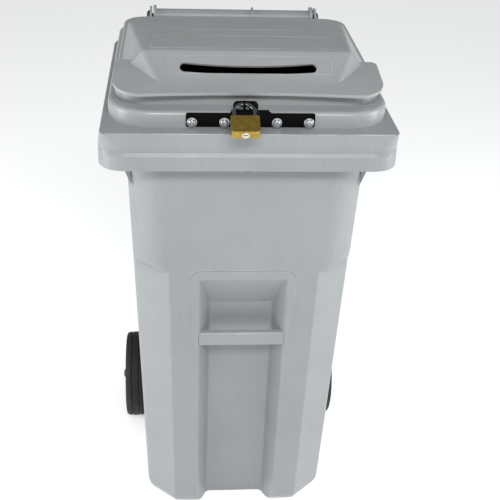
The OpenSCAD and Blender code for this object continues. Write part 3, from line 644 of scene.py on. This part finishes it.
def shape_cart(bm):
    """Draws the rim's front edge forwards and flares its sides below the top edge."""
    front = rim_front()
    still, moved = (front + depth for depth in RIM_DEPTHS)
    (top, at_top), (step, at_step), (foot, at_foot) = RIM_FORWARD
    for vert in bm.verts:
        x, y, z = vert.co
        if z < SKIRT_FOOT - MM:
            continue
        out = share_of(abs(x), *FLARE_REACHES) * share_of(z, RIM_TOP, RIM_TOP - FLARE_DEPTH)
        vert.co.x += math.copysign(RIM_FLARE * out, x)
        forward = at_step + (at_top - at_step) * share_of(z, step, top)
        forward += (at_foot - at_step) * share_of(z, step, foot)
        vert.co.y -= forward * share_of(y, still, moved)


def shape_lid(bm):
    """Opens the paper slot a little higher and draws the brim's front edge forwards."""
    front = rim_front()
    still, moved = (front + depth for depth in BRIM_DEPTHS)
    slot_y, slot_z = front + SLOT_AT[0], SLOT_AT[1]
    half_length, half_height = SLOT_REGION
    deep, proud = SLOT_DEPTHS
    cos, sin = math.cos(SLOT_SLOPE), math.sin(SLOT_SLOPE)
    for vert in bm.verts:
        x, y, z = vert.co
        up = (y - slot_y) * cos + (z - slot_z) * sin
        out = (z - slot_z) * cos - (y - slot_y) * sin
        if abs(x) < half_length and abs(up) < half_height and deep < out < proud:
            shift = up * (SLOT_GROWTH - 1.0) - SLOT_DROP
            vert.co.y += shift * cos
            vert.co.z += shift * sin
        elif BRIM_FOOT + BRIM_FOOT_SLOPE * (y - front - BRIM_FOOT_DEPTH) < z < BRIM_TOP:
            vert.co.y -= BRIM_FORWARD * share_of(y, still, moved)


def rim_webs():
    """Two thin webs between the body's front corners and the inside of the rim's skirt."""
    middle = rim_front() + WEB_DEPTH
    bm = bmesh.new()
    for side in (-1, 1):
        near, far = (
            [bm.verts.new((side * x * MM, y, z * MM)) for x, z in WEB_OUTLINE]
            for y in (middle - WEB_THICKNESS / 2, middle + WEB_THICKNESS / 2)
        )
        bm.faces.new(near)
        bm.faces.new(far)
        skin(bm, near, far)
    bmesh.ops.recalc_face_normals(bm, faces=bm.faces)
    bevel_all(bm, WEB_EDGE)
    mesh = to_mesh(bm, "rim_webs")
    mesh.materials.append(FINISHES["cart_plastic"])
    return link("rim_webs", mesh)


# ---- Fine lines on the lid, round the pocket and along the rim, painted pale as highlights ----

# A bead's section: shares of half its width, and heights in millimetres
BEAD = ((-1.0, -0.3), (-0.6, 0.25), (0.0, 0.4), (0.6, 0.25), (1.0, -0.3))
# Distance between a bead's points, in millimetres
LINE_STEP = 6.0
# The lid's paths in millimetres from the middle of the rim's front: corners, and if it closes
LID_LINES = (
    (((-145, 95), (145, 95), (145, 129), (-145, 129)), True),
    (((-168, 158), (168, 158), (172, 290), (-172, 290)), True),
    (((-95, 367), (95, 367)), False),
)
# The line round the pocket: half its width, its foot, top and corner radius, in millimetres,
# and how far each end of it turns in at the foot
POCKET_LINE = (98.5, 452, 623, 16)
POCKET_LINE_END = 20
# The painted highlight on the rim's front: its reach each side of the middle and its step, in
# millimetres
RIM_LINE_REACH, RIM_LINE_STEP = 240, 8
# Depth below the rim's top at which the front's place is taken
RIM_LINE_PROBE = 0.5 * MM

# Rays run from in front of the cart towards its back, or from above it down, from these places
# in metres
BACKWARDS, DOWNWARDS = Vector((0, 1, 0)), Vector((0, 0, -1))
BEFORE_CART, ABOVE_CART = -1.0, 2.0


def resampled(corners, closed):
    ends = corners + corners[:1] if closed else corners
    points = []
    for (x0, y0), (x1, y1) in zip(ends, ends[1:]):
        steps = max(1, round(math.hypot(x1 - x0, y1 - y0) / LINE_STEP))
        points += [
            (x0 + (x1 - x0) * i / steps, y0 + (y1 - y0) * i / steps) for i in range(steps)
        ]
    return points if closed else points + [ends[-1]]


def surface_of(mesh):
    points = [vert.co for vert in mesh.vertices]
    return BVHTree.FromPolygons(points, [tuple(face.vertices) for face in mesh.polygons])


def laid(surface, starts, direction):
    """Where rays from the starts meet the surface, each place with its normal."""
    hits = (surface.ray_cast(Vector(start), direction)[:2] for start in starts)
    return [(hit, normal) for hit, normal in hits if hit]


def add_bead(bm, hits, width, closed):
    """A low bead along points that lie on a surface, each given with its normal."""
    rows = []
    for i, (hit, normal) in enumerate(hits):
        after = hits[(i + 1) % len(hits)][0] if closed else hits[min(i + 1, len(hits) - 1)][0]
        before = hits[i - 1][0] if closed else hits[max(i - 1, 0)][0]
        across = (after - before).normalized().cross(normal).normalized() * width / 2
        rows.append([
            bm.verts.new(hit + across * side + normal * lift * MM) for side, lift in BEAD
        ])
    for i in range(len(rows) if closed else len(rows) - 1):
        skin(bm, rows[i], rows[(i + 1) % len(rows)])
    if not closed:
        bm.faces.new(rows[0])
        bm.faces.new(rows[-1])


def bead_piece(bm, name, finish):
    bmesh.ops.recalc_face_normals(bm, faces=bm.faces)
    mesh = to_mesh(bm, name, BEAD_CRISP_ANGLE)
    mesh.materials.append(FINISHES[finish])
    return link(name, mesh)


def lid_lines(width):
    """Low beads that lie on the lid where its mould left them."""
    surface = surface_of(NODES["lid"].data)
    front = rim_front()
    bm = bmesh.new()
    for corners, closed in LID_LINES:
        path = resampled(corners, closed)
        starts = [(x * MM, front + y * MM, ABOVE_CART) for x, y in path]
        add_bead(bm, laid(surface, starts, DOWNWARDS), width, closed)
    # Their paler finish is a painted highlight
    return bead_piece(bm, "lid_lines", "moulded_line")


def pocket_line(width):
    """The fine raised line round the pocket and its catch bar."""
    half, foot, top, radius = POCKET_LINE
    path = [(half - POCKET_LINE_END, foot)]
    for x, z, start in ((half - radius, foot + radius, -90), (half - radius, top - radius, 0)):
        for turn in range(0, 91, 15):
            angle = math.radians(start + turn)
            path.append((x + radius * math.cos(angle), z + radius * math.sin(angle)))
    path += [(-x, z) for x, z in reversed(path)]
    starts = [(x * MM, BEFORE_CART, z * MM) for x, z in resampled(tuple(path), False)]
    bm = bmesh.new()
    add_bead(bm, laid(surface_of(NODES["cart_body"].data), starts, BACKWARDS), width, False)
    # Its paler finish is a painted highlight
    return bead_piece(bm, "pocket_line", "scuffed_line")


def rim_line(shell, width):
    """A pale bead along the rim's top front edge: a painted highlight."""
    reach = range(-RIM_LINE_REACH, RIM_LINE_REACH + 1, RIM_LINE_STEP)
    starts = [(x * MM, BEFORE_CART, RIM_TOP - RIM_LINE_PROBE) for x in reach]
    slant = Vector((0.0, -1.0, 1.0)).normalized()
    hits = [
        (Vector((hit.x, hit.y, RIM_TOP)), slant)
        for hit, _ in laid(surface_of(shell), starts, BACKWARDS)
    ]
    bm = bmesh.new()
    add_bead(bm, hits, width, False)
    return bead_piece(bm, "rim_line", "scuffed_line")


# ---- Forms of the lock, the bolts and the wheels ----

# Angle between the padlock's length and the vertical
PADLOCK_TILT = math.radians(64)
# The keyway: its share of the plug's width and half its height; then the depth behind the plug's
# face of the dark sheet that paints the keyway's shade, the height of the sheet's ridge and its
# thickness
KEYWAY_SHARE = 0.62
KEYWAY_HALF = 0.98 * MM
KEYWAY_DEPTH = 1.6 * MM
KEYWAY_RIDGE = 0.5 * MM
KEYWAY_SHEET = 0.4 * MM

# The strip's bolts and washers: radii, the washers' chamfer and the facets round them
BOLT_SHANK = 2.5 * MM
WASHER_RADIUS = 8.5 * MM
WASHER_HOLE = 2.8 * MM
WASHER_EDGE = 0.3 * MM
WASHER_SEGMENTS = 64

# A wheel rib: its distance from the wheel's faces, half its thickness, its foot's radius, its
# distance from the rim and its rounded edge
RIB_INSET = 6 * MM
RIB_HALF = 2.5 * MM
RIB_FOOT = 19 * MM
RIB_GAP = 5 * MM
RIB_EDGE = 0.8 * MM
# Facets round a tyre's tread
TREAD_SEGMENTS = 128


def keyway_lining():
    """A dark sheet near the mouth of the plug's keyway, with a ridge along it: painted shade in the
    keyway.
    """
    low, high = (Vector(corner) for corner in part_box("key_plug"))
    down = Vector((0.0, -math.sin(PADLOCK_TILT), -math.cos(PADLOCK_TILT)))
    across = Vector((0.0, -down.z, down.y))
    half = Vector((high.x - low.x, 0.0, 0.0)) * 0.5 * KEYWAY_SHARE
    face = max(vert.co @ down for vert in NODES["key_plug"].data.vertices)
    centre = (low + high) / 2
    centre += down * (face - centre @ down - KEYWAY_DEPTH)
    bm = bmesh.new()
    bmesh.ops.create_grid(bm, x_segments=12, y_segments=6, size=1.0)
    for vert in bm.verts:
        x, y, _ = vert.co
        ridge = KEYWAY_RIDGE * max(0.0, 1.0 - abs(y) * 2.0)
        vert.co = centre + half * x + across * (y * KEYWAY_HALF) + down * ridge
    bmesh.ops.solidify(bm, geom=bm.faces[:], thickness=KEYWAY_SHEET)
    bmesh.ops.recalc_face_normals(bm, faces=bm.faces)
    mesh = to_mesh(bm, "keyway_lining")
    mesh.materials.append(FINISHES["keyway"])
    return link("keyway_lining", mesh)


def washer_loop(thick):
    """Outline of a washer's section, whose front lies at zero."""
    rim, edge = WASHER_RADIUS, WASHER_EDGE
    return [
        (-thick, WASHER_HOLE), (-thick, rim - edge), (-thick + edge, rim),
        (-edge, rim), (0.0, rim - edge), (0.0, WASHER_HOLE),
    ]


def hub_loop(long, rim, gap, tyre_width):
    """Outline of a wheel's section: hub, web and the ring that carries the tyre."""
    mid, start, end = long / 2, gap + 2 * MM, gap + tyre_width - 2 * MM
    half = [
        (0.0, 8.1), (0.0, 20.6), (0.4, 21.6), (1.4, 22.0), (mid / MM - 6.5, 22.4),
        (mid / MM - 5.0, 23.4), (mid / MM - 4.2, 26.0),
    ]
    near = [(x * MM, r * MM) for x, r in half]
    near += [
        (mid - 4 * MM, rim - 11 * MM), (mid - 5 * MM, rim - 8.2 * MM),
        (mid - 7 * MM, rim - 7.2 * MM),
    ]
    ring = [
        (start + 1 * MM, rim - 7 * MM), (start, rim - 6 * MM), (start, rim - 0.8 * MM),
        (start + 0.8 * MM, rim), (end - 0.8 * MM, rim), (end, rim - 0.8 * MM),
        (end, rim - 6 * MM), (end - 1 * MM, rim - 7 * MM),
    ]
    far = [(long - x, r) for x, r in reversed(near)]
    return near + ring + far


def tyre_loop(width, inner, outer):
    """Outline of a tyre's section, with two grooves round the tread and ridges on its sides."""
    low, top = inner / MM, outer / MM
    side = [
        (2.0, low), (0.6, low + 4), (0.0, low + 6.2), (0.5, low + 7.4), (1.2, low + 8.2),
        (1.0, top - 5.2), (1.5, top - 4.5), (3.2, top - 2.4), (7.0, top - 1.0), (12.6, top),
        (13.4, top - 0.6), (14.0, top - 2), (16.0, top - 2), (16.6, top - 0.6), (17.4, top),
    ]
    near = [(x * MM, r * MM) for x, r in side]
    return near + [(width - x, r) for x, r in reversed(near)]


# ---- Operators ----


class CONSOLE_OT_finishes(bpy.types.Operator):
    """Makes every finish and gives it to the CAD nodes that stay as they are"""

    bl_idname = "console.finishes"
    bl_label = "Finishes"

    def execute(self, context):
        make_finishes(context.scene.console_colours)
        for node, obj in NODES.items():
            obj.data.materials.clear()
            obj.data.materials.append(FINISHES[SLOTS[node]])
        return {"FINISHED"}


class CONSOLE_OT_mouldings(bpy.types.Operator):
    """Makes the cart's shell and the lid with their rounded edges"""

    bl_idname = "console.mouldings"
    bl_label = "Cart and lid"

    def execute(self, context):
        sizes = context.scene.console_sizes
        cart, lid = FINISHES["cart_plastic"], FINISHES["lid_plastic"]
        shell = softened("cart_body", "cart_shell", sizes.shell_edge, cart, shape_cart)
        softened("lid", "lid_shell", sizes.lid_edge, lid, shape_lid)
        finish_piece(rim_webs(), "cart_body")
        finish_piece(lid_lines(sizes.line_width), "lid")
        finish_piece(pocket_line(sizes.line_width), "cart_body")
        finish_piece(rim_line(shell.data, sizes.highlight_line_width), "cart_body")
        return {"FINISHED"}


class CONSOLE_OT_lock(bpy.types.Operator):
    """Makes the hasp, the staple and the padlock"""

    bl_idname = "console.lock"
    bl_label = "Hasp and padlock"

    def execute(self, context):
        edge = context.scene.console_sizes.metal_edge
        steel = FINISHES["black_steel"]
        softened("hasp_strip", "hasp_plate", edge, steel)
        softened("hasp_leaf", "hasp_flap", edge, steel)
        softened("staple", "staple_post", edge, steel)
        softened("padlock_case", "padlock_block", 1.6 * edge, FINISHES["brass"])
        softened("key_plug", "plug_ring", 0.5 * edge, FINISHES["plug_steel"])
        finish_piece(keyway_lining(), "key_plug")
        return {"FINISHED"}


class CONSOLE_OT_bolts(bpy.types.Operator):
    """Makes the strip's four bolts and their washers"""

    bl_idname = "console.bolts"
    bl_label = "Bolts"

    def execute(self, context):
        sizes = context.scene.console_sizes
        low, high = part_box("strip_screws")
        washer_low, washer_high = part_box("strip_washers")
        seat = Vector((0.0, low[1] + sizes.bolt_rise, (low[2] + high[2]) / 2))
        tree = pairs_tree()
        common = dict(
            Place=seat, Turn=(math.radians(90), 0.0, 0.0),
            Inner=sizes.inner_bolt, Outer=washer_high[0] - WASHER_RADIUS,
        )
        head = bolt_mesh(sizes.bolt_head, sizes.bolt_rise, BOLT_SHANK, high[1] - seat.y)
        heads = grown("bolt_heads", tree, head, FINISHES["zinc"], **common)
        finish_piece(heads, "strip_screws")
        thick = washer_high[1] - washer_low[1]
        ring = lathe("washer", washer_loop(thick), WASHER_SEGMENTS)
        ring.transform(Matrix.Rotation(math.radians(-90), 4, "Y"))
        washers = grown("bolt_washers", tree, ring, FINISHES["zinc"], **common)
        finish_piece(washers, "strip_washers")
        return {"FINISHED"}


class CONSOLE_OT_wheels(bpy.types.Operator):
    """Makes the wheels with their ribs and tyres"""

    bl_idname = "console.wheels"
    bl_label = "Wheels"

    def execute(self, context):
        ribs = context.scene.console_sizes.rib_count
        tree = ring_tree()
        for side, sign in (("left", -1), ("right", 1)):
            left = sign < 0
            low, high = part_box(f"{side}_wheel")
            t_low, t_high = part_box(f"{side}_tyre")
            long, width = high[0] - low[0], t_high[0] - t_low[0]
            rim, tread_radius = (high[2] - low[2]) / 2, (t_high[2] - t_low[2]) / 2
            gap = (high[0] - t_high[0]) if left else (t_low[0] - low[0])
            inner, tyre_inner = (high[0], t_high[0]) if left else (low[0], t_low[0])
            centre = Vector((inner, (low[1] + high[1]) / 2, (low[2] + high[2]) / 2))
            hub = lathe(f"{side}_hub", hub_loop(long, rim, gap, width))
            hub.materials.append(FINISHES["black_plastic"])
            finish_piece(link(f"{side}_hub", placed(hub, centre, left)), f"{side}_wheel")
            rib = bevelled_box(
                "rib", (RIB_INSET - long, -RIB_HALF, RIB_FOOT),
                (-RIB_INSET, RIB_HALF, rim - RIB_GAP), RIB_EDGE,
            )
            rib.transform(Matrix.Rotation(math.radians(90), 4, "Y"))
            rib_ring = grown(
                f"{side}_ribs", tree, rib, FINISHES["black_plastic"], Count=ribs, Radius=0.0,
                Place=centre, Turn=(0.0, math.radians(90) * sign, 0.0),
            )
            finish_piece(rib_ring, f"{side}_wheel")
            tread = lathe(f"{side}_tread", tyre_loop(width, rim, tread_radius), TREAD_SEGMENTS)
            tread.materials.append(FINISHES["tyre"])
            start = Vector((tyre_inner, centre.y, centre.z))
            finish_piece(link(f"{side}_tread", placed(tread, start, left)), f"{side}_tyre")
        return {"FINISHED"}


# ---- Stage ----

# The photograph's camera: its place in metres from the origin, and its angles
CAMERA_AT = Vector((-0.125, -1.78419, 1.516))
CAMERA_YAW = math.radians(4.94)
CAMERA_PITCH = math.radians(28.58)
CAMERA_ROLL = math.radians(2.14)
CAMERA_LENS = 70.13

FLOOR_SIZE = 30.0
FLOOR_COLOUR, FLOOR_GLOW = (0.86, 0.87, 0.87), 0.45
SKY_COLOUR, SKY_STRENGTH = (0.97, 0.985, 1.0, 1.0), 0.33
# Each softbox: its name, its place, what it looks at, its size and its power in watts
SOFTBOXES = (
    ("front", (0.1, -2.3, 2.55), (0.0, 0.0, 1.0), (1.5, 0.5), 54.0),
    ("side_left", (-2.6, -0.5, 1.0), (0.0, 0.0, 0.5), (1.2, 1.8), 46.0),
    ("side_right", (2.6, -0.5, 1.0), (0.0, 0.0, 0.5), (1.2, 1.8), 42.0),
)


def photo_camera():
    data = bpy.data.cameras.new("photo_camera")
    data.lens = CAMERA_LENS
    data.sensor_width = 36.0
    data.clip_end = 50.0
    camera = bpy.data.objects.new("photo_camera", data)
    forward = Vector((
        math.sin(CAMERA_YAW) * math.cos(CAMERA_PITCH),
        math.cos(CAMERA_YAW) * math.cos(CAMERA_PITCH),
        -math.sin(CAMERA_PITCH),
    ))
    level = Vector((math.cos(CAMERA_YAW), -math.sin(CAMERA_YAW), 0.0))
    upright = level.cross(forward)
    right = level * math.cos(CAMERA_ROLL) + upright * math.sin(CAMERA_ROLL)
    up = upright * math.cos(CAMERA_ROLL) - level * math.sin(CAMERA_ROLL)
    turn = Matrix((right, up, -forward)).transposed()
    camera.matrix_world = Matrix.Translation(CAMERA_AT) @ turn.to_4x4()
    bpy.context.scene.collection.objects.link(camera)
    bpy.context.scene.camera = camera


def softbox(name, at, aim, size, power):
    data = bpy.data.lights.new(name, "AREA")
    data.shape = "RECTANGLE"
    data.size, data.size_y = size
    data.energy = power
    obj = bpy.data.objects.new(name, data)
    obj.location = at
    obj.rotation_euler = (Vector(aim) - Vector(at)).to_track_quat("-Z", "Y").to_euler()
    bpy.context.scene.collection.objects.link(obj)


class CONSOLE_OT_stage(bpy.types.Operator):
    """Makes the pale floor, the soft light and the camera"""

    bl_idname = "console.stage"
    bl_label = "Stage"

    def execute(self, context):
        bpy.ops.mesh.primitive_plane_add(size=FLOOR_SIZE, location=(0.0, 0.0, 0.0))
        floor = context.active_object
        floor.name = "studio_floor"
        floor_finish, _, glow, _ = material("studio_floor", FLOOR_COLOUR, 0.9)
        glow.inputs["Emission Color"].default_value = (1.0, 1.0, 1.0, 1.0)
        glow.inputs["Emission Strength"].default_value = FLOOR_GLOW
        floor.data.materials.append(floor_finish)
        world = bpy.data.worlds.new("studio")
        world.use_nodes = True
        sky = world.node_tree.nodes["Background"]
        sky.inputs["Color"].default_value = SKY_COLOUR
        sky.inputs["Strength"].default_value = SKY_STRENGTH
        context.scene.world = world
        for box in SOFTBOXES:
            softbox(*box)
        photo_camera()
        context.scene.view_settings.view_transform = "Standard"
        return {"FINISHED"}


class CONSOLE_PT_panel(bpy.types.Panel):
    """Lists the console's settings and steps"""

    bl_idname = "CONSOLE_PT_panel"
    bl_label = "Shredding console"
    bl_space_type = "VIEW_3D"
    bl_region_type = "UI"
    bl_category = "Console"

    def draw(self, context):
        for settings in (context.scene.console_colours, context.scene.console_sizes):
            for key in settings.bl_rna.properties.keys():
                if key not in {"rna_type", "name"}:
                    self.layout.prop(settings, key)
        for operator in OPERATORS:
            self.layout.operator(operator.bl_idname)


OPERATORS = (
    CONSOLE_OT_finishes,
    CONSOLE_OT_mouldings,
    CONSOLE_OT_lock,
    CONSOLE_OT_bolts,
    CONSOLE_OT_wheels,
    CONSOLE_OT_stage,
)
CLASSES = (ConsoleColours, ConsoleSizes, *OPERATORS, CONSOLE_PT_panel)


def register():
    for cls in CLASSES:
        bpy.utils.register_class(cls)
    bpy.types.Scene.console_colours = PointerProperty(type=ConsoleColours)
    bpy.types.Scene.console_sizes = PointerProperty(type=ConsoleSizes)


def unregister():
    del bpy.types.Scene.console_sizes
    del bpy.types.Scene.console_colours
    for cls in reversed(CLASSES):
        bpy.utils.unregister_class(cls)


def main():
    register()
    for operator in OPERATORS:
        group, name = operator.bl_idname.split(".")
        getattr(getattr(bpy.ops, group), name)()


if __name__ == "__main__":
    main()
